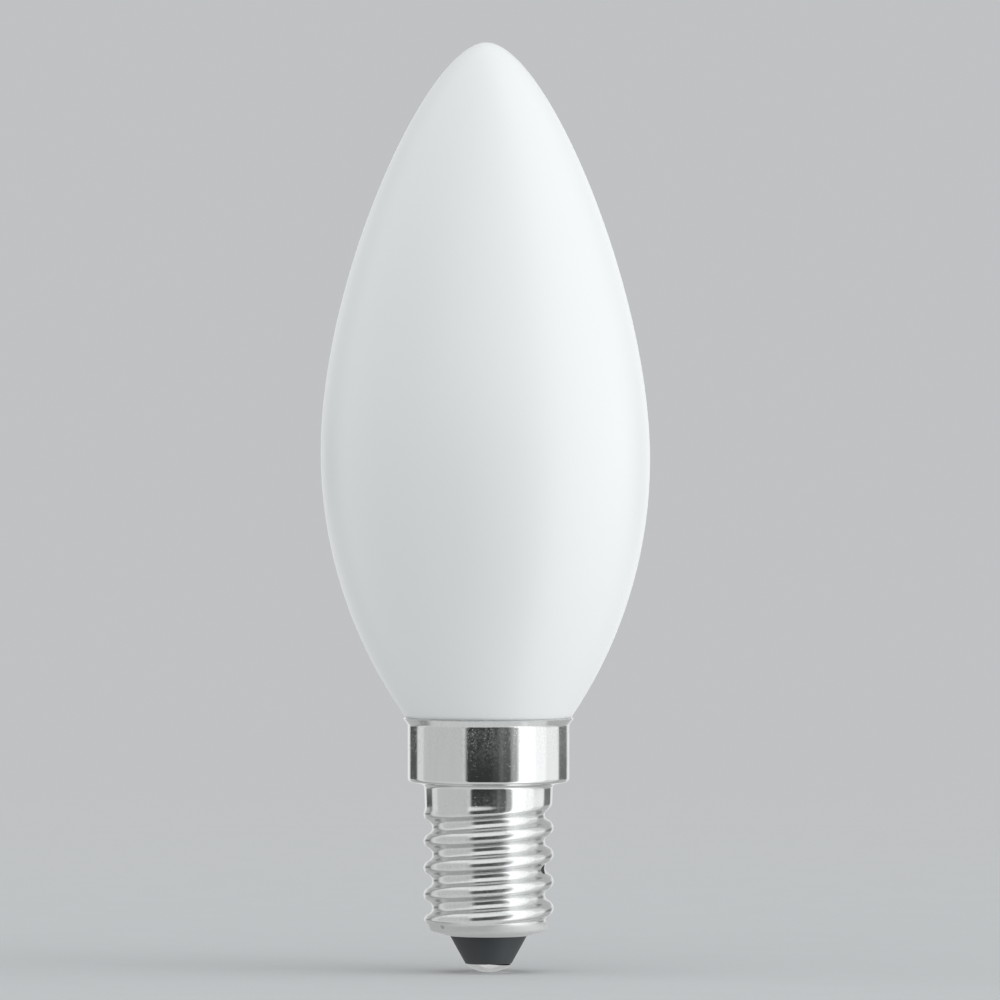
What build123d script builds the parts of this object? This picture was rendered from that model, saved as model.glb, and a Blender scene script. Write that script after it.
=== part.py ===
from build123d import *

import os
from math import atan2, ceil, cos, sin, sqrt

# Candle lamp: an opal glass envelope cemented into a small Edison screw cap.
# Four pieces show, and each is one solid: the sealed envelope, the drawn metal cap
# with its rolled thread, the black insulator moulded into the cap's open end, and the
# contact rivet through the insulator. The envelope is opaque and sealed, so it is solid.
# The lamp's axis is +Z and the origin is the lowest point of the contact.

# Driving dimensions, in millimetres

# Contact rivet, at the foot of the lamp
contact_radius = 2.42
contact_dome_height = 0.9
rivet_shank_radius = 0.8
rivet_tail_length = 0.6

# Insulator: a cone below the cap and a plug inside it
insulator_waist_radius = 4.05
insulator_cone_height = 2.95
insulator_plug_height = 2.4

# Screw cap, drawn from sheet; the bends are outside radii
sheet_thickness = 0.25
lip_rise = 0.58
foot_radius = 6.25
foot_height = 0.4
foot_bend = 0.5
neck_radius = 6.74
neck_length = 1.82
neck_bend = 0.45
shoulder_rise = 0.36
collar_radius = 8.5
collar_height = 5.98
collar_bend = 0.45
flare_reach = 0.47
flare_height = 0.62
flare_bend = 0.4

# Rolled thread: single start, right hand
thread_pitch = 2.822
thread_crest_radius = 6.85
thread_depth = 0.92
thread_length = 13.13
thread_run_in = 1.3
thread_run_out = 0.85
thread_first_crest = 0.54  # of the crest on the -X side, above the thread's lower end
thread_sections_per_turn = 10

# Glass envelope, from the rim of the cap up
belly_radius = 17.33
belly_height = 27.51
crown_height = 43.5
crown_fullness = 18.0  # how far the belly's upright tangent pulls the crown's curve
tip_fullness = 6.25  # how far the tip's level tangent pulls it

# Clearances
rim_clearance = 0.04  # glass to the edge of the flare
cement_gap = 0.5  # glass neck to the inside of the collar
neck_seat_gap = 0.3  # glass neck to the cap's shoulder
moulding_clearance = 0.05  # insulator to the cap
rivet_clearance = 0.02  # rivet shank to its bore

# Radii where two pieces fit together
flare_lean = atan2(flare_reach, flare_height)
rim_radius = collar_radius + flare_reach
rim_edge_radius = rim_radius - sheet_thickness * cos(flare_lean)
collar_bore_radius = collar_radius - sheet_thickness
neck_bore_radius = neck_radius - sheet_thickness
thread_bore_radius = thread_crest_radius - thread_depth - sheet_thickness
lip_hole_radius = insulator_waist_radius + moulding_clearance
glass_rim_radius = rim_edge_radius - rim_clearance
glass_neck_radius = collar_bore_radius - cement_gap
plug_radius = thread_bore_radius - moulding_clearance
rivet_bore_radius = rivet_shank_radius + rivet_clearance

# Heights up the axis, from the contact to the tip of the glass
contact_seat = contact_dome_height
lip_edge = contact_seat + insulator_cone_height
foot_corner = lip_edge + lip_rise
thread_bottom = foot_corner + foot_height
thread_top = thread_bottom + thread_length
neck_top = thread_top + neck_length
collar_bottom = neck_top + shoulder_rise
flare_bottom = collar_bottom + collar_height
rim = flare_bottom + flare_height
rim_edge = rim + sheet_thickness * sin(flare_lean)
belly = rim_edge + belly_height
tip = belly + crown_height

# Heights inside the cap, where the lip's slope carries the insulator's plug
lip_slope = lip_rise / (foot_radius - lip_hole_radius)
lip_inside = lip_edge + sheet_thickness * sqrt(1 + lip_slope**2)
lip_corner = lip_inside + lip_slope * (thread_bore_radius - lip_hole_radius)
plug_bottom = lip_inside + moulding_clearance
plug_corner = plug_bottom + lip_slope * (plug_radius - insulator_waist_radius)
plug_top = plug_corner + insulator_plug_height
glass_neck_bottom = collar_bottom + sheet_thickness + neck_seat_gap


def turned(*lines):
    """The solid that a closed outline of (radius, height) makes when turned about the axis."""
    edges = [edge for line in lines for edge in line.edges()]
    return revolve(Plane.XZ * make_face(edges), Axis.Z)


def glass_envelope():
    """The blown candle: a neck, one arc up to the belly, and a pointed crown."""
    flank_drop = belly_radius - glass_rim_radius
    flank_radius = (belly_height**2 + flank_drop**2) / (2 * flank_drop)
    neck_reach = flank_radius - belly_radius + glass_neck_radius
    neck_start = belly - sqrt(flank_radius**2 - neck_reach**2)

    crown = Bezier(
        (0, tip),
        (tip_fullness, tip),
        (belly_radius, belly + crown_fullness),
        (belly_radius, belly),
    )
    flank = TangentArc(
        (belly_radius, belly), (glass_neck_radius, neck_start), tangent=(0, -1)
    )
    neck = Polyline(
        (glass_neck_radius, neck_start),
        (glass_neck_radius, glass_neck_bottom),
        (0, glass_neck_bottom),
        (0, tip),
    )
    return turned(crown, flank, neck)


def eased(share):
    """0 up to 1 with level ends, for a share of the way along a run."""
    share = min(max(share, 0), 1)
    return share * share * (3 - 2 * share)


def thread_section(height):
    """The thread cut level: a circle off the axis by half the depth, which turns once a pitch.

    Along the run at each end of the thread the circle comes back on to the axis, at the size of
    the plain neck or foot, and its turn slows to a stop.
    """
    run_in = max(height - thread_top + thread_run_in, 0) / thread_run_in
    run_out = max(thread_bottom + thread_run_out - height, 0) / thread_run_out
    off_axis = thread_depth / 2 * (1 - eased(run_in)) * (1 - eased(run_out))
    radius = thread_crest_radius - thread_depth / 2
    radius += (neck_radius - radius) * eased(run_in) + (foot_radius - radius) * eased(run_out)
    turned_height = height - thread_run_in * run_in**2 / 2 + thread_run_out * run_out**2 / 2
    turn = 360 * (turned_height - thread_bottom - thread_first_crest) / thread_pitch
    centre = Vector(-off_axis, 0, height).rotate(Axis.Z, turn)
    return Pos(centre) * Circle(radius)


def rolled_thread():
    """The solid inside the thread, lofted through its level sections."""
    steps = ceil(thread_sections_per_turn * thread_length / thread_pitch)
    heights = [thread_bottom + thread_length * step / steps for step in range(steps + 1)]
    return loft([thread_section(height) for height in heights])


def screw_cap():
    """The cap: a flared collar, a plain neck, the rolled thread and a turned-in foot.

    Its hollow keeps the sheet's thickness, with a plain bore behind the thread.
    """
    collar = FilletPolyline(
        (neck_radius, thread_top),
        (neck_radius, neck_top),
        (collar_radius, collar_bottom),
        (collar_radius, flare_bottom),
        (rim_radius, rim),
        radius=[neck_bend, collar_bend, flare_bend],
    )
    collar_core = Polyline(
        (rim_radius, rim),
        (rim_edge_radius, rim_edge),
        (0, rim_edge),
        (0, thread_top),
        (neck_radius, thread_top),
    )
    foot = FilletPolyline(
        (lip_hole_radius, lip_edge),
        (foot_radius, foot_corner),
        (foot_radius, thread_bottom),
        radius=[foot_bend],
    )
    foot_core = Polyline(
        (foot_radius, thread_bottom),
        (0, thread_bottom),
        (0, lip_edge),
        (lip_hole_radius, lip_edge),
    )
    hollow = Polyline(
        (0, lip_edge),
        (lip_hole_radius, lip_edge),
        (lip_hole_radius, lip_inside),
        (thread_bore_radius, lip_corner),
        (thread_bore_radius, thread_top),
        (neck_bore_radius, thread_top),
        (neck_bore_radius, neck_top + sheet_thickness),
        (collar_bore_radius, collar_bottom + sheet_thickness),
        (collar_bore_radius, flare_bottom),
        (rim_edge_radius, rim_edge),
        (0, rim_edge),
        close=True,
    )
    solid_cap = turned(collar, collar_core) + rolled_thread() + turned(foot, foot_core)
    return solid_cap - turned(hollow)


def insulator():
    """The black cone that carries the contact, with its waist in the lip and its plug inside."""
    outline = Polyline(
        (rivet_bore_radius, contact_seat),
        (contact_radius, contact_seat),
        (insulator_waist_radius, lip_edge),
        (insulator_waist_radius, plug_bottom),
        (plug_radius, plug_corner),
        (plug_radius, plug_top),
        (rivet_bore_radius, plug_top),
        close=True,
    )
    return turned(outline)


def contact_rivet():
    """The domed contact under the insulator, and its shank through it."""
    dome_radius = (contact_radius**2 + contact_dome_height**2) / (2 * contact_dome_height)
    dome = RadiusArc((0, 0), (contact_radius, contact_seat), -dome_radius)
    shank = Polyline(
        (contact_radius, contact_seat),
        (rivet_shank_radius, contact_seat),
        (rivet_shank_radius, plug_top + rivet_tail_length),
        (0, plug_top + rivet_tail_length),
        (0, 0),
    )
    return turned(dome, shank)


pieces = {
    "glass_envelope": glass_envelope(),
    "screw_cap": screw_cap(),
    "insulator": insulator(),
    "contact_rivet": contact_rivet(),
}

os.makedirs("parts", exist_ok=True)
for name, piece in pieces.items():
    export_step(piece, f"parts/{name}.step")
    print(name, "volume", round(piece.volume, 1), "faces", len(piece.faces()))
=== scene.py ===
# %% [markdown]
# # A candle lamp with a small screw cap
# The lamp is a sealed bulb: a milky glass candle cemented into a bright metal cap with a rolled
# thread, a black insulator in the cap's foot, and a solder dome for the centre contact.
# Four CAD solids carry its size. This lesson dresses them: every piece gets a fine mesh of the
# same form, then a finish, and then the lamp stands on a pale floor inside a light tent.
# Blender counts in metres. The lamp's drawing is in millimetres, so the lengths below are in
# millimetres, and one factor turns them into metres when a mesh is made.

# %% Load the solids
import math

import bmesh
import bpy
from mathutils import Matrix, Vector


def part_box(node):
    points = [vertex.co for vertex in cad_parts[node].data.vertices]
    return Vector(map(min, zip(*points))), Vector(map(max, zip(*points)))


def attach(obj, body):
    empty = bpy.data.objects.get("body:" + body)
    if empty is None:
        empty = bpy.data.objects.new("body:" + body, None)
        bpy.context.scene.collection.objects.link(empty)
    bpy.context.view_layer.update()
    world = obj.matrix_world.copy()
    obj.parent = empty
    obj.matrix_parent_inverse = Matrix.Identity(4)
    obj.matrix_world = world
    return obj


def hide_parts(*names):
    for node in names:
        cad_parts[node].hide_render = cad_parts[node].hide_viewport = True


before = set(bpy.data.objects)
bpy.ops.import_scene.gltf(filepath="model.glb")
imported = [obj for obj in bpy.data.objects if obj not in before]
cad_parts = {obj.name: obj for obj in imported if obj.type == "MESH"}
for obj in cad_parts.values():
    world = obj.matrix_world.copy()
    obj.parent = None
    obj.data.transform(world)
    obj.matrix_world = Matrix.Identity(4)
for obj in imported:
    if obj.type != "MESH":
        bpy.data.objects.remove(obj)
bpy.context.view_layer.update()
millimetre = 0.001


def box_in_mm(node):
    """The lowest and highest corner of a CAD node, in millimetres."""
    return [corner / millimetre for corner in map(Vector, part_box(node))]


print("CAD nodes:", sorted(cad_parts))

# %% [markdown]
# ## A skin over rings
# All four pieces are round about the lamp's axis, or nearly so. A Screw modifier on a profile
# would turn a true lathe shape, but the thread isn't one: its crest climbs round the axis.
# So a piece is a stack of level rings with the same number of points, and faces between each
# ring and the next. A ring of one point closes an end.
# Sharp edges are marked by angle, so the bends shade smoothly and the cut edges stay crisp.

# %% Rings and the skin between them
ring_points = 208
crisp_edge = math.radians(38)


def ring(radius, height, centre=(0.0, 0.0)):
    """A level ring of points, or a single point where the radius is nothing."""
    if radius == 0:
        return [(*centre, height)]
    turns = [2 * math.pi * step / ring_points for step in range(ring_points)]
    return [
        (centre[0] + radius * math.cos(turn), centre[1] + radius * math.sin(turn), height)
        for turn in turns
    ]


def faces_between(lower, upper):
    """The faces that join two rings of vertices, either of which may be a single vertex."""
    count = max(len(lower), len(upper))
    for step in range(count):
        following = (step + 1) % count
        corners = [
            lower[step % len(lower)],
            lower[following % len(lower)],
            upper[following % len(upper)],
            upper[step % len(upper)],
        ]
        yield list(dict.fromkeys(corners))


def skin(name, rings, replaced_node):
    """A closed mesh over rings; where the last ring is no point, it joins the first again."""
    build = bmesh.new()
    rows = [[build.verts.new(Vector(p) * millimetre) for p in points] for points in rings]
    pairs = list(zip(rows, rows[1:]))
    if len(rows[-1]) > 1:
        pairs.append((rows[-1], rows[0]))
    for lower, upper in pairs:
        for corners in faces_between(lower, upper):
            build.faces.new(corners)
    bmesh.ops.recalc_face_normals(build, faces=build.faces)
    mesh = bpy.data.meshes.new(name)
    build.to_mesh(mesh)
    build.free()
    mesh.shade_smooth()
    mesh.set_sharp_from_angle(angle=crisp_edge)
    piece = bpy.data.objects.new(name, mesh)
    bpy.context.scene.collection.objects.link(piece)
    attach(piece, "root")
    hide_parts(replaced_node)
    size = [round(length / millimetre, 2) for length in piece.dimensions]
    print(name, "has", len(mesh.polygons), "faces and measures", size, "mm")
    return piece


print("Each ring has", ring_points, "points")

# %% [markdown]
# ## Bends in drawn metal
# Sheet metal has no sharp corners where it is drawn over a tool. A Bevel modifier would round
# every edge alike. Here each corner of a profile has its own bend, laid as an arc that touches
# both straight runs.

# %% Profiles with rounded corners
bend_steps = 9


def bend_arc(before, corner, after, radius):
    """Points on the arc of a radius that touches both runs at a corner."""
    back = (Vector(before) - Vector(corner)).normalized()
    ahead = (Vector(after) - Vector(corner)).normalized()
    opening = back.angle(ahead)
    turn = math.pi - opening
    centre = Vector(corner) + (back + ahead).normalized() * radius / math.sin(opening / 2)
    reach = radius / math.tan(opening / 2)
    start = Vector(corner) + back * reach - centre
    end = Vector(corner) + ahead * reach - centre
    shares = [step / bend_steps for step in range(bend_steps + 1)]
    return [
        centre + (start * math.sin((1 - s) * turn) + end * math.sin(s * turn)) / math.sin(turn)
        for s in shares
    ]


def bent_profile(*corners):
    """A profile of (radius, height) through corners, each given with its bend radius or 0."""
    profile = []
    for number, (radius, height, bend) in enumerate(corners):
        if bend:
            before, after = corners[number - 1][:2], corners[number + 1][:2]
            profile += [tuple(p) for p in bend_arc(before, (radius, height), after, bend)]
        else:
            profile.append((radius, height))
    return profile


print("Each bend has", bend_steps + 1, "points")

# %% [markdown]
# ## The glass candle
# Opal glass is blown in a mould: a narrow neck, one even swell up to the belly, and a crown that
# draws in to a blunt tip. The swell is an arc of a circle and the crown is a cubic Bezier with an
# upright tangent at the belly and a level one at the tip, so no edge shows anywhere.
# Blown glass is never quite true. The candle bows a few tenths of a millimetre to one side.

# %% Glass envelope
glass_low, glass_high = box_in_mm("glass_envelope")
cap_low, cap_high = box_in_mm("screw_cap")
glass_tip, belly_radius = glass_high.z, glass_high.x
belly_height = 54.40
rim_top = cap_high.z
glass_rim_radius = 8.731
glass_neck_radius = 7.75
crown_fullness, tip_fullness = 18.0, 6.25
crown_rings, flank_rings = 84, 72
glass_bow = 0.40
bow_half_waves = 0.80


def crown_point(share):
    """A point on the crown's Bezier, from the tip at 0 to the belly at 1."""
    pulls = [
        ((1 - share) ** 3, (0, glass_tip)),
        (3 * share * (1 - share) ** 2, (tip_fullness, glass_tip)),
        (3 * share**2 * (1 - share), (belly_radius, belly_height + crown_fullness)),
        (share**3, (belly_radius, belly_height)),
    ]
    return tuple(sum(pull * point[axis] for pull, point in pulls) for axis in (0, 1))


def flank_profile():
    """The arc from below the belly down to the neck."""
    drop, run = belly_radius - glass_rim_radius, belly_height - rim_top
    arc_radius = (run**2 + drop**2) / (2 * drop)
    sweep = math.acos(1 - (belly_radius - glass_neck_radius) / arc_radius)
    angles = [sweep * step / flank_rings for step in range(1, flank_rings + 1)]
    return [
        (belly_radius - arc_radius * (1 - math.cos(a)), belly_height - arc_radius * math.sin(a))
        for a in angles
    ]


def bowed_centre(height):
    """Where the glass's middle lies at a height: on the axis at the rim, aside further up."""
    share = max(0.0, (height - rim_top) / (glass_tip - rim_top))
    return (-glass_bow * math.sin(math.pi * bow_half_waves * share), 0.0)


glass_profile = [crown_point(step / crown_rings) for step in range(crown_rings + 1)]
glass_profile += flank_profile()
glass_profile += [(glass_neck_radius, glass_low.z), (0, glass_low.z)]
glass = skin(
    "opal_candle",
    [ring(radius, height, bowed_centre(height)) for radius, height in glass_profile],
    "glass_envelope",
)

# %% [markdown]
# ## The rolled thread
# The cap's thread is rolled into the sheet, not cut, so its crests and roots are equally round:
# along the axis, its profile is a chain of arcs that touch. A profile swept along a helix would
# leave a seam at both ends. Here each level ring takes its radius from the chain of arcs, shifted
# by one pitch for every turn. Along a short run at both ends the swing eases to nothing and the
# turn slows to a stop, so the thread fades into the plain neck above it and the foot below.

# %% Thread rings
thread_bottom, thread_top = 4.83, 17.96
thread_length = thread_top - thread_bottom
thread_pitch, thread_crest_radius, thread_depth = 2.822, 6.85, 0.92
thread_flank = 2 * math.atan(2 * thread_depth / thread_pitch)
thread_arc = thread_pitch / 4 / math.sin(thread_flank)
thread_run_in, thread_run_out = 1.3, 0.85
first_crest = 0.54
rings_per_pitch = 34
foot_radius = 6.25
neck_radius, neck_draft = 6.76, 0.06
neck_low_radius = neck_radius - neck_draft


def eased(share):
    """0 up to 1 with level ends, for a share of the way along a run."""
    share = min(max(share, 0.0), 1.0)
    return share * share * (3 - 2 * share)


def thread_swing(offset):
    """How far the thread stands out from its mean radius, at an offset up from a crest."""
    off_crest = abs((offset + thread_pitch / 2) % thread_pitch - thread_pitch / 2)
    off_line = min(off_crest, thread_pitch / 2 - off_crest)
    stand = thread_depth / 2 - thread_arc + math.sqrt(thread_arc**2 - off_line**2)
    return stand if off_crest < thread_pitch / 4 else -stand


def thread_ring(height):
    """The thread cut level at a height: crests and roots follow each other round the ring."""
    run_in = max(height - thread_top + thread_run_in, 0) / thread_run_in
    run_out = max(thread_bottom + thread_run_out - height, 0) / thread_run_out
    swing_share = (1 - eased(run_in)) * (1 - eased(run_out))
    radius = thread_crest_radius - thread_depth / 2
    radius += (neck_low_radius - radius) * eased(run_in)
    radius += (foot_radius - radius) * eased(run_out)
    turned_height = height - thread_run_in * run_in**2 / 2 + thread_run_out * run_out**2 / 2
    first_offset = turned_height - thread_bottom - first_crest + thread_pitch / 2
    points = []
    for step in range(ring_points):
        turn = 2 * math.pi * step / ring_points
        offset = first_offset - thread_pitch * step / ring_points
        reach = radius + thread_swing(offset) * swing_share
        points.append((reach * math.cos(turn), reach * math.sin(turn), height))
    return points


thread_steps = math.ceil(rings_per_pitch * thread_length / thread_pitch)
thread_heights = [thread_bottom + thread_length * s / thread_steps for s in range(thread_steps + 1)]
thread_rings = [thread_ring(height) for height in thread_heights]
print("Thread:", len(thread_rings), "rings on arcs of", round(thread_arc, 3), "mm")

# %% [markdown]
# ## The cap from its foot to its rim
# The cap is one thin sheet: a foot turned in round the insulator, the thread, a plain neck that
# narrows a little towards it, a shoulder, and a collar that flares under the glass. One closed
# skin runs up the outside, over the rim and down the inside. A Solidify modifier could give the
# sheet its thickness too, but behind the thread the inside is a plain bore.

# %% Screw cap
sheet = 0.25
lip_hole_radius, lip_height = 4.1, cap_low.z
foot_corner, foot_bend = 4.43, 0.5
neck_top, neck_bend = 19.78, 0.45
collar_radius, collar_bottom, collar_top, collar_bend = 8.5, 20.14, 26.12, 0.45
flare_bend = 0.4
rim_radius, rim_height = cap_high.x, 26.74
flare_lean = math.atan2(rim_radius - collar_radius, rim_height - collar_top)
rim_edge_radius = rim_radius - sheet * math.cos(flare_lean)
thread_bore = thread_crest_radius - thread_depth - sheet
lip_slope = (foot_corner - lip_height) / (foot_radius - lip_hole_radius)
lip_inside = lip_height + sheet * math.hypot(1, lip_slope)
lip_inside_corner = lip_inside + lip_slope * (thread_bore - lip_hole_radius)

foot_profile = bent_profile(
    (lip_hole_radius, lip_height, 0),
    (foot_radius, foot_corner, foot_bend),
    (foot_radius, thread_bottom, 0),
)[:-1]
collar_profile = bent_profile(
    (neck_low_radius, thread_top, 0),
    (neck_radius, neck_top, neck_bend),
    (collar_radius, collar_bottom, collar_bend),
    (collar_radius, collar_top, flare_bend),
    (rim_radius, rim_height, 0),
)[1:]
inside_profile = [
    (rim_edge_radius, rim_top),
    (collar_radius - sheet, collar_top),
    (collar_radius - sheet, collar_bottom + sheet),
    (neck_radius - sheet, neck_top + sheet),
    (neck_radius - sheet, thread_top),
    (thread_bore, thread_top),
    (thread_bore, lip_inside_corner),
    (lip_hole_radius, lip_inside),
]
cap_rings = [ring(*point) for point in foot_profile]
cap_rings += thread_rings
cap_rings += [ring(*point) for point in collar_profile + inside_profile]
cap = skin("rolled_cap", cap_rings, "screw_cap")

# %% [markdown]
# ## The insulator
# Black glass is poured into the cap's foot and hangs below it as a short cone. Most of it is
# hidden in the cap. What shows is the cone, with a soft lower edge. A cone primitive has no plug
# and no bore, so the insulator is a turned profile like the other pieces.

# %% Insulator
insulator_low, insulator_high = box_in_mm("insulator")
moulding_gap = 0.05
insulator_waist = lip_hole_radius - moulding_gap
plug_radius = insulator_high.x
plug_floor = lip_inside + moulding_gap
plug_corner = plug_floor + lip_slope * (plug_radius - insulator_waist)
bore_radius = 0.82
cone_edge_radius, cone_edge_bend = 2.42, 0.16
insulator_profile = bent_profile(
    (bore_radius, insulator_low.z, 0),
    (cone_edge_radius, insulator_low.z, cone_edge_bend),
    (insulator_waist, lip_height, 0),
    (insulator_waist, plug_floor, 0),
    (plug_radius, plug_corner, 0),
    (plug_radius, insulator_high.z, 0),
    (bore_radius, insulator_high.z, 0),
)
insulator_piece = skin(
    "insulator_cone",
    [ring(*point) for point in insulator_profile],
    "insulator",
)

# %% [markdown]
# ## The centre contact
# A drop of solder closes the contact. It ran a little before it set, so its edge creeps higher on
# one side. A sphere cut flat would have a perfect edge. The dome's rings therefore tilt and waver
# more towards the edge, and the shank behind it stays a plain pin.

# %% Contact dome
contact_low, contact_high = box_in_mm("contact_rivet")
dome_radius, dome_height = contact_high.x, insulator_low.z
dome_rings = 22
shank_radius = 0.8
edge_tilt = 0.09
edge_waver, edge_waves, waver_start = 0.035, 3, 0.6
edge_growth = 3


def dome_ring(share):
    """A ring of the dome, from the lowest point at 0 to the edge at 1."""
    arc_radius = (dome_radius**2 + dome_height**2) / (2 * dome_height)
    angle = share * math.asin(dome_radius / arc_radius)
    radius, height = arc_radius * math.sin(angle), arc_radius * (1 - math.cos(angle))
    points = []
    for x, y, _ in ring(radius, height):
        side = math.atan2(y, x)
        lift = edge_waver * math.sin(edge_waves * side + waver_start) - edge_tilt * math.cos(side)
        points.append((x, y, height + lift * share**edge_growth))
    return points


contact_rings = [ring(0, contact_low.z)]
contact_rings += [dome_ring(step / dome_rings) for step in range(1, dome_rings + 1)]
contact_rings += [
    ring(shank_radius, dome_height),
    ring(shank_radius, contact_high.z),
    ring(0, contact_high.z),
]
contact = skin("solder_dome", contact_rings, "contact_rivet")

# %% [markdown]
# ## Nodes in code
# The finishes are node trees. Wired by hand they'd be a canvas of boxes. In code, a few small
# helpers add a node, give its inputs a value or another node's output, and hand back the result,
# so a tree reads like a short calculation.
# Effects that several finishes share are node groups: built once, then placed with their own values.

# %% Node helpers
per_metre = 1 / millimetre
mix_first, mix_second, mix_result = 6, 7, 2  # a Mix node's places for colours


def place(tree, kind, inputs=None, **settings):
    """Add a node, set it up, and give its inputs a value or the output of another node."""
    node = tree.nodes.new(kind)
    for name, value in settings.items():
        setattr(node, name, value)
    for name, value in (inputs or {}).items():
        if isinstance(value, bpy.types.NodeSocket):
            tree.links.new(value, node.inputs[name])
        else:
            node.inputs[name].default_value = value
    return node


def sums(tree, operation, *values):
    """The output of a Math node on one to three values."""
    return place(tree, "ShaderNodeMath", dict(enumerate(values)), operation=operation).outputs[0]


def vectors(tree, operation, *values):
    """The output of a Vector Math node on two vectors."""
    node = place(tree, "ShaderNodeVectorMath", dict(enumerate(values)), operation=operation)
    return node.outputs["Vector"]


def vector_length(tree, vector):
    """How long a vector is."""
    node = place(tree, "ShaderNodeVectorMath", {0: vector}, operation="LENGTH")
    return node.outputs["Value"]


def joined(tree, x, y, z):
    """A vector out of three values."""
    return place(tree, "ShaderNodeCombineXYZ", {"X": x, "Y": y, "Z": z}).outputs["Vector"]


def ramp(tree, value, start, end, at_start=1.0, at_end=0.0, shape="SMOOTHSTEP"):
    """A level that changes from one to another while a value goes from start to end."""
    inputs = {"Value": value, "From Min": start, "From Max": end, "To Min": at_start, "To Max": at_end}
    return place(tree, "ShaderNodeMapRange", inputs, interpolation_type=shape).outputs["Result"]


def blend_colours(tree, factor, first, second):
    """A colour between two, by a factor that varies over the surface."""
    inputs = {"Factor": factor, mix_first: first, mix_second: second}
    return place(tree, "ShaderNodeMix", inputs, data_type="RGBA").outputs[mix_result]


def own_place(tree):
    """Where a point lies on its own object, in metres."""
    return place(tree, "ShaderNodeTexCoord").outputs["Object"]


def new_group(name, output, inputs):
    """An empty shader group with float sockets, and the sockets that come in."""
    group = bpy.data.node_groups.new(name, "ShaderNodeTree")
    for socket, value in inputs.items():
        made = group.interface.new_socket(socket, in_out="INPUT", socket_type="NodeSocketFloat")
        made.default_value = value
    group.interface.new_socket(output, in_out="OUTPUT", socket_type="NodeSocketFloat")
    return group, group.nodes.new("NodeGroupInput").outputs


def close_group(group, result):
    """Send a result out of a group."""
    group.links.new(result, group.nodes.new("NodeGroupOutput").inputs[0])
    print("Group", group.name, "has", len(group.nodes), "nodes")


def use_group(tree, group, **inputs):
    """The output of a group placed with its own values; underscores stand for spaces."""
    named = {name.replace("_", " "): value for name, value in inputs.items()}
    return place(tree, "ShaderNodeGroup", named, node_tree=group).outputs[0]


print("Shaders count", round(per_metre), "millimetres to the metre")

# %% [markdown]
# ## Fine specks
# Seen close up, the plating and the solder have pits, and the insulator has dust. Painting them
# would need an unwrapped mesh and a picture. A Voronoi texture already scatters cells through
# space: some cells are chosen by their random colour, and each of those gets a round dot.

# %% Group: fine specks
specks, speck_in = new_group(
    "Fine specks", "Mask", {"Spacing mm": 0.6, "Share": 0.3, "Speck Size": 0.2}
)
speck_scale = sums(specks, "DIVIDE", per_metre, speck_in["Spacing mm"])
speck_cells = place(
    specks, "ShaderNodeTexVoronoi", {"Vector": own_place(specks), "Scale": speck_scale}
).outputs
speck_pick = place(specks, "ShaderNodeSeparateColor", {"Color": speck_cells["Color"]}).outputs
speck_chosen = sums(specks, "LESS_THAN", speck_pick["Red"], speck_in["Share"])
speck_radius = sums(specks, "MULTIPLY", speck_pick["Green"], speck_in["Speck Size"])
speck_dot = ramp(specks, speck_cells["Distance"], 0.0, speck_radius)
close_group(specks, sums(specks, "MULTIPLY", speck_dot, speck_chosen))

# %% [markdown]
# ## Slow unevenness
# No gloss is the same all over. A painted map could say where it changes, but a soft Noise texture
# needs no map: it drifts between a lowest and a highest value. Stretch squeezes it or draws it out
# along the lamp's axis, as drawing and rolling do.

# %% Group: slow unevenness
noise_low, noise_high = 0.2, 0.8
unevenness, uneven_in = new_group(
    "Slow unevenness",
    "Value",
    {"Spacing mm": 5.0, "Stretch": 1.0, "Lowest": 0.0, "Highest": 1.0},
)
uneven_stretch = joined(unevenness, 1.0, 1.0, uneven_in["Stretch"])
uneven_vector = vectors(unevenness, "MULTIPLY", own_place(unevenness), uneven_stretch)
uneven_scale = sums(unevenness, "DIVIDE", per_metre, uneven_in["Spacing mm"])
uneven_noise = place(
    unevenness,
    "ShaderNodeTexNoise",
    {"Vector": uneven_vector, "Scale": uneven_scale, "Detail": 1.0},
).outputs["Fac"]
uneven_ends = uneven_in["Lowest"], uneven_in["Highest"]
close_group(unevenness, ramp(unevenness, uneven_noise, noise_low, noise_high, *uneven_ends, "LINEAR"))

# %% [markdown]
# ## A small mark
# A used lamp has single marks, such as a stain, and one small dark patch here is painted shade.
# They could be painted on a picture of the surface.
# But each lies at one known place, so this group gives a small rounded patch about a point of the
# lamp, in millimetres.

# %% Group: small mark
mark_core, mark_edge = 0.4, 0.5
mark, mark_in = new_group(
    "Small mark",
    "Mask",
    {"X mm": 0.0, "Y mm": 0.0, "Z mm": 0.0, "Width mm": 1.0, "Height mm": 1.0},
)
mark_centre = joined(mark, mark_in["X mm"], mark_in["Y mm"], mark_in["Z mm"])
mark_size = joined(mark, mark_in["Width mm"], mark_in["Width mm"], mark_in["Height mm"])
mark_place = vectors(mark, "MULTIPLY", own_place(mark), (per_metre, per_metre, per_metre))
mark_offset = vectors(mark, "SUBTRACT", mark_place, mark_centre)
mark_reach = vector_length(mark, vectors(mark, "DIVIDE", mark_offset, mark_size))
close_group(mark, ramp(mark, mark_reach, mark_core, mark_edge))

# %% [markdown]
# ## Opal glass
# The glass is white all through and a little cool. Subsurface or Transmission could follow the
# light inside it, but the wall is so dense that nothing shows through, so a plain white base does.
# Its satin skin spreads reflections wide, and both the white and the gloss drift slowly.

# %% Opal glass
glass_white, glass_paler = (0.872, 0.894, 0.899, 1.0), (0.882, 0.901, 0.906, 1.0)


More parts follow.
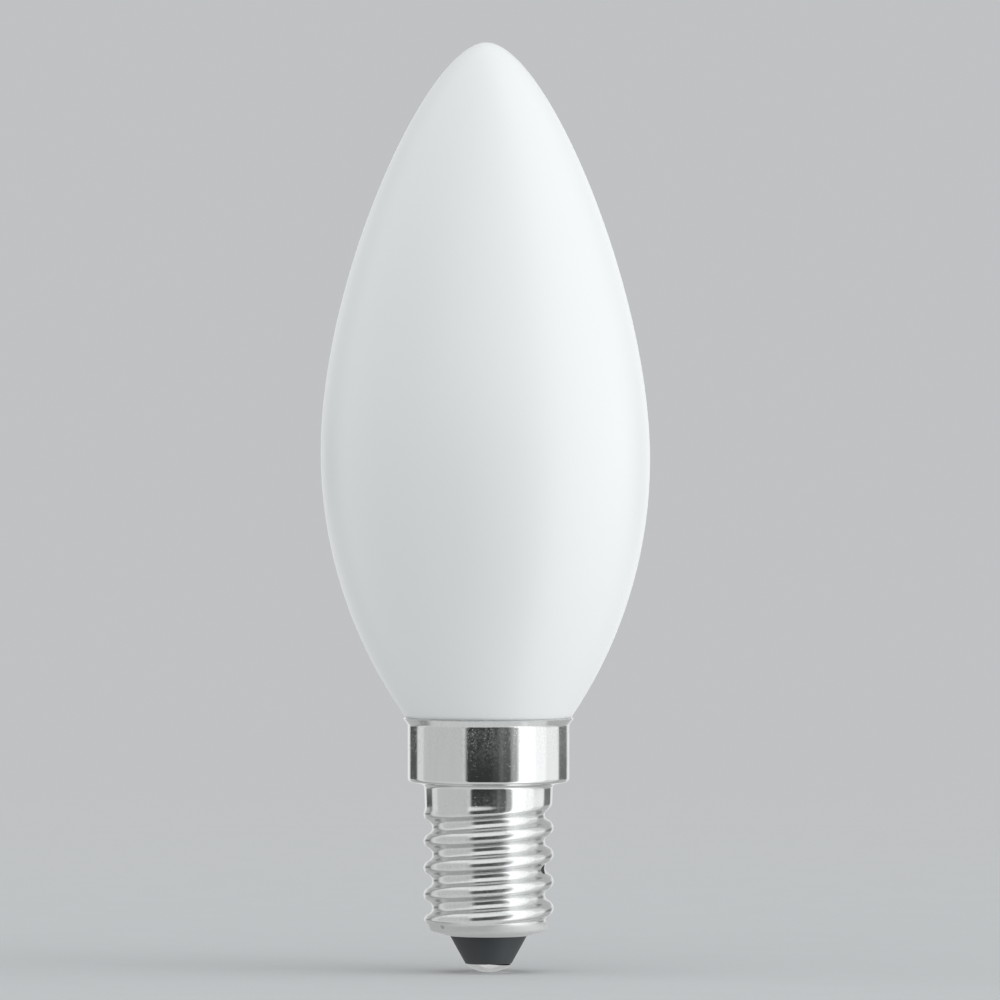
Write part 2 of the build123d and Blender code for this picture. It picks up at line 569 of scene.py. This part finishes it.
def finish(piece, name, **constants):
    """The tree of a new material on a piece, with constant sockets of its shader set."""
    material = bpy.data.materials.new(name)
    material.use_nodes = True
    shader = material.node_tree.nodes["Principled BSDF"]
    for socket, value in constants.items():
        shader.inputs[socket.replace("_", " ")].default_value = value
    piece.data.materials.clear()
    piece.data.materials.append(material)
    return material.node_tree


def drive(tree, **outputs):
    """Link outputs to the sockets of a material's shader; underscores stand for spaces."""
    shader = tree.nodes["Principled BSDF"]
    for socket, output in outputs.items():
        tree.links.new(output, shader.inputs[socket.replace("_", " ")])


glass_tree = finish(glass, "Satin opal glass", Specular_IOR_Level=0.5)
glass_milk = use_group(glass_tree, unevenness, Spacing_mm=24.0)
glass_gloss = use_group(glass_tree, unevenness, Spacing_mm=18.0, Lowest=0.29, Highest=0.36)
glass_colour = blend_colours(glass_tree, glass_milk, glass_white, glass_paler)
drive(glass_tree, Base_Color=glass_colour, Roughness=glass_gloss)
print("Opal glass:", len(glass_tree.nodes), "nodes")

# %% [markdown]
# ## Plated metal
# The cap is plated sheet, nearly a mirror on the collar and the neck. Rolling leaves the thread a
# little duller, and the foot is duller still, so the roughness follows the height up the lamp.
# The pits are thickest under the rim. A thin film of dust lies there and on the thread. It lifts
# the darkest reflections, so the plate counts as a little less than all metal where it lies.
# A small dark, matt patch on the thread is painted shade, and a small stain lies on the
# foot. One roughness and one colour would do for a new cap, not for this.

# %% Plated cap
cap_grey, cap_paler = (0.655, 0.66, 0.66, 1.0), (0.685, 0.69, 0.69, 1.0)
stain_and_shade_dark = (0.04, 0.04, 0.04, 1.0)
stain_strength = 0.3
dull_foot, bright_from, foot_roughness = 4.9, 5.7, 0.75
thread_roughness = 0.2
few_pits_to, many_pits_from = 21.5, 25.5
few_pits, many_pits = 0.2, 1.0
pit_roughness, pit_depth, pit_strength = 0.3, 0.02, 0.4
thread_dust, rim_dust = 0.06, 0.08


def pitted(tree, pits, depth):
    """The normal of a surface with pits of a depth in millimetres."""
    inputs = {"Height": pits, "Strength": pit_strength, "Distance": depth * millimetre}
    return place(tree, "ShaderNodeBump", inputs, invert=True).outputs["Normal"]


cap_tree = finish(cap, "Plated cap metal")
cap_axes = place(cap_tree, "ShaderNodeSeparateXYZ", {"Vector": own_place(cap_tree)}).outputs
cap_height = sums(cap_tree, "MULTIPLY", cap_axes["Z"], per_metre)
# Painted shade: a small dark, matt patch on the thread. The second mark is a real stain on the foot.
cap_shade_patch = use_group(
    cap_tree, mark, X_mm=5.75, Y_mm=-1.55, Z_mm=10.9, Width_mm=1.5, Height_mm=1.1
)
cap_stain = use_group(
    cap_tree, mark, X_mm=-4.9, Y_mm=-4.05, Z_mm=4.95, Width_mm=0.7, Height_mm=0.5
)
cap_stain = sums(cap_tree, "MULTIPLY", cap_stain, stain_strength)
cap_stain_and_shade_patch = sums(cap_tree, "MAXIMUM", cap_shade_patch, cap_stain)
cap_streaks = use_group(cap_tree, unevenness, Spacing_mm=0.7, Stretch=0.15)
cap_colour = blend_colours(cap_tree, cap_streaks, cap_grey, cap_paler)
# The stain and the painted shade patch darken the colour here.
cap_colour = blend_colours(cap_tree, cap_stain_and_shade_patch, cap_colour, stain_and_shade_dark)
cap_share = ramp(
    cap_tree, cap_height, few_pits_to, many_pits_from, few_pits, many_pits, "LINEAR"
)
cap_pits = use_group(cap_tree, specks, Spacing_mm=0.16, Share=cap_share, Speck_Size=0.5)
cap_low_dust = ramp(cap_tree, cap_height, thread_top, collar_bottom, thread_dust, 0.0)
cap_high_dust = ramp(cap_tree, cap_height, collar_bottom, collar_top, 0.0, rim_dust)
cap_dust = sums(cap_tree, "MAXIMUM", cap_low_dust, cap_high_dust)
cap_grain = use_group(cap_tree, unevenness, Spacing_mm=0.3, Lowest=-0.5, Highest=2.5)
cap_dust = sums(cap_tree, "MULTIPLY", cap_dust, cap_grain)
# Dust and the painted shade patch make the plate a little less than all metal.
cap_dust_and_shade_patch = sums(cap_tree, "MAXIMUM", cap_dust, cap_shade_patch)
cap_roughness = use_group(cap_tree, unevenness, Spacing_mm=2.2, Lowest=0.07, Highest=0.13)
full_thread_top = thread_top - thread_run_in
for cap_dullness in (
    sums(cap_tree, "MULTIPLY", cap_pits, pit_roughness),
    ramp(cap_tree, cap_height, dull_foot, bright_from, foot_roughness, 0.0),
    ramp(cap_tree, cap_height, thread_top, full_thread_top, 0.0, thread_roughness),
    cap_shade_patch,
):
    cap_roughness = sums(cap_tree, "MAXIMUM", cap_roughness, cap_dullness)
drive(
    cap_tree,
    Base_Color=cap_colour,
    Metallic=sums(cap_tree, "SUBTRACT", 1.0, cap_dust_and_shade_patch),
    Roughness=cap_roughness,
    Normal=pitted(cap_tree, cap_pits, pit_depth),
)
print("Plated cap:", len(cap_tree.nodes), "nodes")

# %% [markdown]
# ## Black insulator
# The insulator's black glass has lost its polish. A dark base, a half-matt skin that drifts a
# little, and a few specks of pale dust are enough for a piece this small.

# %% Black insulator
insulator_dark, insulator_dusty = (0.046, 0.051, 0.055, 1.0), (0.08, 0.085, 0.09, 1.0)
insulator_tree = finish(insulator_piece, "Black insulator", Specular_IOR_Level=0.3)
insulator_dust = use_group(insulator_tree, specks, Spacing_mm=0.7, Share=0.25, Speck_Size=0.2)
insulator_gloss = use_group(insulator_tree, unevenness, Spacing_mm=1.5, Lowest=0.5, Highest=0.6)
insulator_colour = blend_colours(insulator_tree, insulator_dust, insulator_dark, insulator_dusty)
drive(insulator_tree, Base_Color=insulator_colour, Roughness=insulator_gloss)
print("Black insulator:", len(insulator_tree.nodes), "nodes")

# %% [markdown]
# ## Solder
# Solder is a pale metal that sets with a patchy skin. With one plain tone the dome would look
# turned, not melted. So its tone and its gloss change over half a millimetre or so, and small
# pits break up its reflections.

# %% Solder dome
solder_grey, solder_paler = (0.72, 0.72, 0.71, 1.0), (0.84, 0.84, 0.83, 1.0)
solder_pit_depth = 0.03
solder_tree = finish(contact, "Dull solder", Metallic=1.0)
solder_pits = use_group(solder_tree, specks, Spacing_mm=0.4, Share=0.5, Speck_Size=0.4)
solder_gloss = use_group(solder_tree, unevenness, Spacing_mm=0.9, Lowest=0.14, Highest=0.3)
solder_tone = use_group(solder_tree, unevenness, Spacing_mm=0.5)
solder_colour = blend_colours(solder_tree, solder_tone, solder_grey, solder_paler)
drive(
    solder_tree,
    Base_Color=solder_colour,
    Roughness=solder_gloss,
    Normal=pitted(solder_tree, solder_pits, solder_pit_depth),
)
print("Solder:", len(solder_tree.nodes), "nodes")

# %% [markdown]
# ## One panel of a light tent
# Bright metal shows whatever stands round it, so the light is built as a room, not as a lamp: a
# tent of pale cloth. Planes of real cloth would do, but each would show in other views. A world
# shader draws the tent by direction instead. Every panel in it is the same group, with its own
# azimuth and lift in degrees: azimuth 0 is towards the camera, and it grows to the right.

# %% Group: tent panel
side_softness = 3.0
half_turn = 180.0
panel, panel_in = new_group(
    "Tent panel",
    "Mask",
    {
        "Azimuth": 0.0,
        "Elevation": 0.0,
        "Centre": 0.0,
        "Half Width": 30.0,
        "Lift": 0.0,
        "Half Height": 40.0,
        "End Softness": 3.0,
    },
)


def panel_edge(distance, half, softness):
    """1 inside a half size, 0 outside it, with a soft edge between."""
    inner = sums(panel, "SUBTRACT", half, softness)
    outer = sums(panel, "ADD", half, softness)
    return ramp(panel, distance, inner, outer)


panel_aside = sums(panel, "SUBTRACT", panel_in["Azimuth"], panel_in["Centre"])
panel_aside = sums(panel, "WRAP", panel_aside, half_turn, -half_turn)
panel_above = sums(panel, "SUBTRACT", panel_in["Elevation"], panel_in["Lift"])
panel_across = panel_edge(
    sums(panel, "ABSOLUTE", panel_aside), panel_in["Half Width"], side_softness
)
panel_upright = panel_edge(
    sums(panel, "ABSOLUTE", panel_above), panel_in["Half Height"], panel_in["End Softness"]
)
close_group(panel, sums(panel, "MULTIPLY", panel_across, panel_upright))

# %% [markdown]
# ## The tent and the ground behind the lamp
# The tent has a grey left side, a bright right side with the key light, a darker wall behind, two
# dark seams at the back, and a dark opening in front where the camera looks in, which is paler on
# its right. Later panels cover earlier ones. The metal reflects the tent itself, because light and
# dark next to each other are what make it look like metal. Only the camera sees a plain pale
# ground in its place.

# %% Light tent
tent_bottom, tent_top, tent_steepest = 0.78, 0.90, 60.0
tent_tint = (0.985, 1.0, 1.0, 1.0)
ground_tone = (0.525, 0.535, 0.545, 1.0)
# Centre, half width, lift, half height and softness of the ends, in degrees, then the brightness
panels = {
    "top of the front": (0.0, 43.0, 36.0, 26.0, 3.0, 1.10),
    "top of the left": (-80.0, 38.0, 46.0, 16.0, 3.0, 1.10),
    "back wall": (180.0, 60.0, 0.0, 62.0, 3.0, 0.55),
    "bright strip behind": (180.0, 29.0, 0.0, 12.0, 3.0, 0.95),
    "left pole": (-130.0, 6.5, 0.0, 55.0, 3.0, 0.34),
    "left seam": (-137.0, 14.0, -2.2, 3.2, 3.0, 0.06),
    "right seam": (136.0, 15.0, -2.0, 6.0, 3.0, 0.20),
    "left strip": (-115.0, 8.5, 0.0, 30.0, 3.0, 0.93),
    "grey left panel": (-72.0, 34.5, 0.0, 32.0, 16.0, 0.70),
    "right wall": (81.5, 38.5, 0.0, 60.0, 3.0, 0.90),
    "foot of the right wall": (81.5, 38.5, 0.0, 8.0, 3.0, 1.20),
    "bright right panel": (67.0, 24.0, 8.0, 68.0, 6.0, 1.40),
    "key light": (56.5, 13.5, 8.0, 68.0, 6.0, 1.78),
    "edge of the opening": (37.5, 6.0, -16.0, 26.0, 6.0, 0.50),
    "dark opening": (0.0, 32.5, -16.0, 26.0, 6.0, 0.046),
    "pale side of the opening": (18.0, 12.0, -16.0, 26.0, 6.0, 0.075),
    "paler side of the opening": (22.5, 7.5, -16.0, 26.0, 6.0, 0.12),
    "slit in the opening": (19.0, 1.5, -16.0, 26.0, 6.0, 0.19),
}
world = bpy.data.worlds.new("Light tent")
world.use_nodes = True
bpy.context.scene.world = world
tent = world.node_tree
tent_direction = place(tent, "ShaderNodeTexCoord").outputs["Generated"]
tent_axes = place(tent, "ShaderNodeSeparateXYZ", {"Vector": tent_direction}).outputs
tent_front = sums(tent, "MULTIPLY", tent_axes["Y"], -1.0)
tent_azimuth = sums(tent, "DEGREES", sums(tent, "ARCTAN2", tent_axes["X"], tent_front))
tent_elevation = sums(tent, "DEGREES", sums(tent, "ARCSINE", tent_axes["Z"]))
tent_level = ramp(tent, tent_elevation, -tent_steepest, tent_steepest, tent_bottom, tent_top)
for centre, half_width, lift, half_height, end_softness, level in panels.values():
    panel_mask = use_group(
        tent,
        panel,
        Azimuth=tent_azimuth,
        Elevation=tent_elevation,
        Centre=centre,
        Half_Width=half_width,
        Lift=lift,
        Half_Height=half_height,
        End_Softness=end_softness,
    )
    tent_mix = place(tent, "ShaderNodeMix", {"Factor": panel_mask, "A": tent_level, "B": level})
    tent_level = tent_mix.outputs["Result"]
tent_light = tent.nodes["Background"]
tent_light.inputs["Color"].default_value = tent_tint
tent.links.new(tent_level, tent_light.inputs["Strength"])
ground_light = place(tent, "ShaderNodeBackground", {"Color": ground_tone})
tent_choice = place(
    tent,
    "ShaderNodeMixShader",
    {
        "Fac": place(tent, "ShaderNodeLightPath").outputs["Is Camera Ray"],
        1: tent_light.outputs["Background"],
        2: ground_light.outputs["Background"],
    },
)
tent.links.new(tent_choice.outputs["Shader"], tent.nodes["World Output"].inputs["Surface"])
print("Light tent:", len(panels), "panels,", len(tent.nodes), "nodes")

# %% [markdown]
# ## The floor
# The lamp stands on its contact on a pale floor. The floor takes the lamp's soft shadow and fades
# out into the ground behind it, so no horizon crosses the picture. A plane with an edge would need
# a curved backdrop to hide it. Only the camera sees the floor, and only from above: the metal
# reflects the tent's pale bottom there, and from below the lamp's foot stays in view.

# %% Floor
floor_radius, floor_points = 0.9, 96
floor_fade_start, floor_fade_end = 0.12, 0.5
floor_grey, floor_paler = (0.565, 0.575, 0.585, 1.0), (0.575, 0.585, 0.595, 1.0)
floor_mesh = bpy.data.meshes.new("floor")
floor_build = bmesh.new()
bmesh.ops.create_circle(floor_build, cap_ends=True, segments=floor_points, radius=floor_radius)
floor_build.to_mesh(floor_mesh)
floor_build.free()
floor = bpy.data.objects.new("floor", floor_mesh)
bpy.context.scene.collection.objects.link(floor)
for ray in ("visible_diffuse", "visible_glossy", "visible_transmission", "visible_shadow"):
    setattr(floor, ray, False)
floor_tree = finish(floor, "Pale floor", Roughness=0.9, Specular_IOR_Level=0.0)
floor_reach = vector_length(floor_tree, own_place(floor_tree))
floor_fade = ramp(floor_tree, floor_reach, floor_fade_start, floor_fade_end)
floor_under = place(floor_tree, "ShaderNodeNewGeometry").outputs["Backfacing"]
floor_above = sums(floor_tree, "SUBTRACT", 1.0, floor_under)
floor_alpha = sums(floor_tree, "MULTIPLY", floor_fade, floor_above)
floor_grain = use_group(floor_tree, unevenness, Spacing_mm=9.0)
floor_colour = blend_colours(floor_tree, floor_grain, floor_grey, floor_paler)
drive(floor_tree, Base_Color=floor_colour, Alpha=floor_alpha)
print("Floor:", len(floor_tree.nodes), "nodes, radius", floor_radius, "m")

# %% [markdown]
# ## The camera
# The lamp was seen from far off, a little above its middle, with a long lens. That keeps the
# collar's edges nearly straight. An orthographic camera would make them quite straight, which no
# real lens does. The frame is square and the lamp stands a little left of its centre.

# %% Camera
frame_width = 105.26
camera_distance = 1750.0
camera_elevation = math.radians(1.4)
aim = Vector((1.21, 0.0, 49.75))
camera_data = bpy.data.cameras.new("camera")
camera_data.lens = camera_data.sensor_width * camera_distance / frame_width
camera = bpy.data.objects.new("camera", camera_data)
back_off = Vector((0.0, -math.cos(camera_elevation), math.sin(camera_elevation)))
camera.location = (aim + back_off * camera_distance) * millimetre
camera.rotation_euler = (math.pi / 2 - camera_elevation, 0.0, 0.0)
bpy.context.scene.collection.objects.link(camera)
bpy.context.scene.camera = camera
bpy.context.scene.view_settings.view_transform = "Standard"
print("Camera", round(camera_distance), "mm off, lens", round(camera_data.lens, 1), "mm")
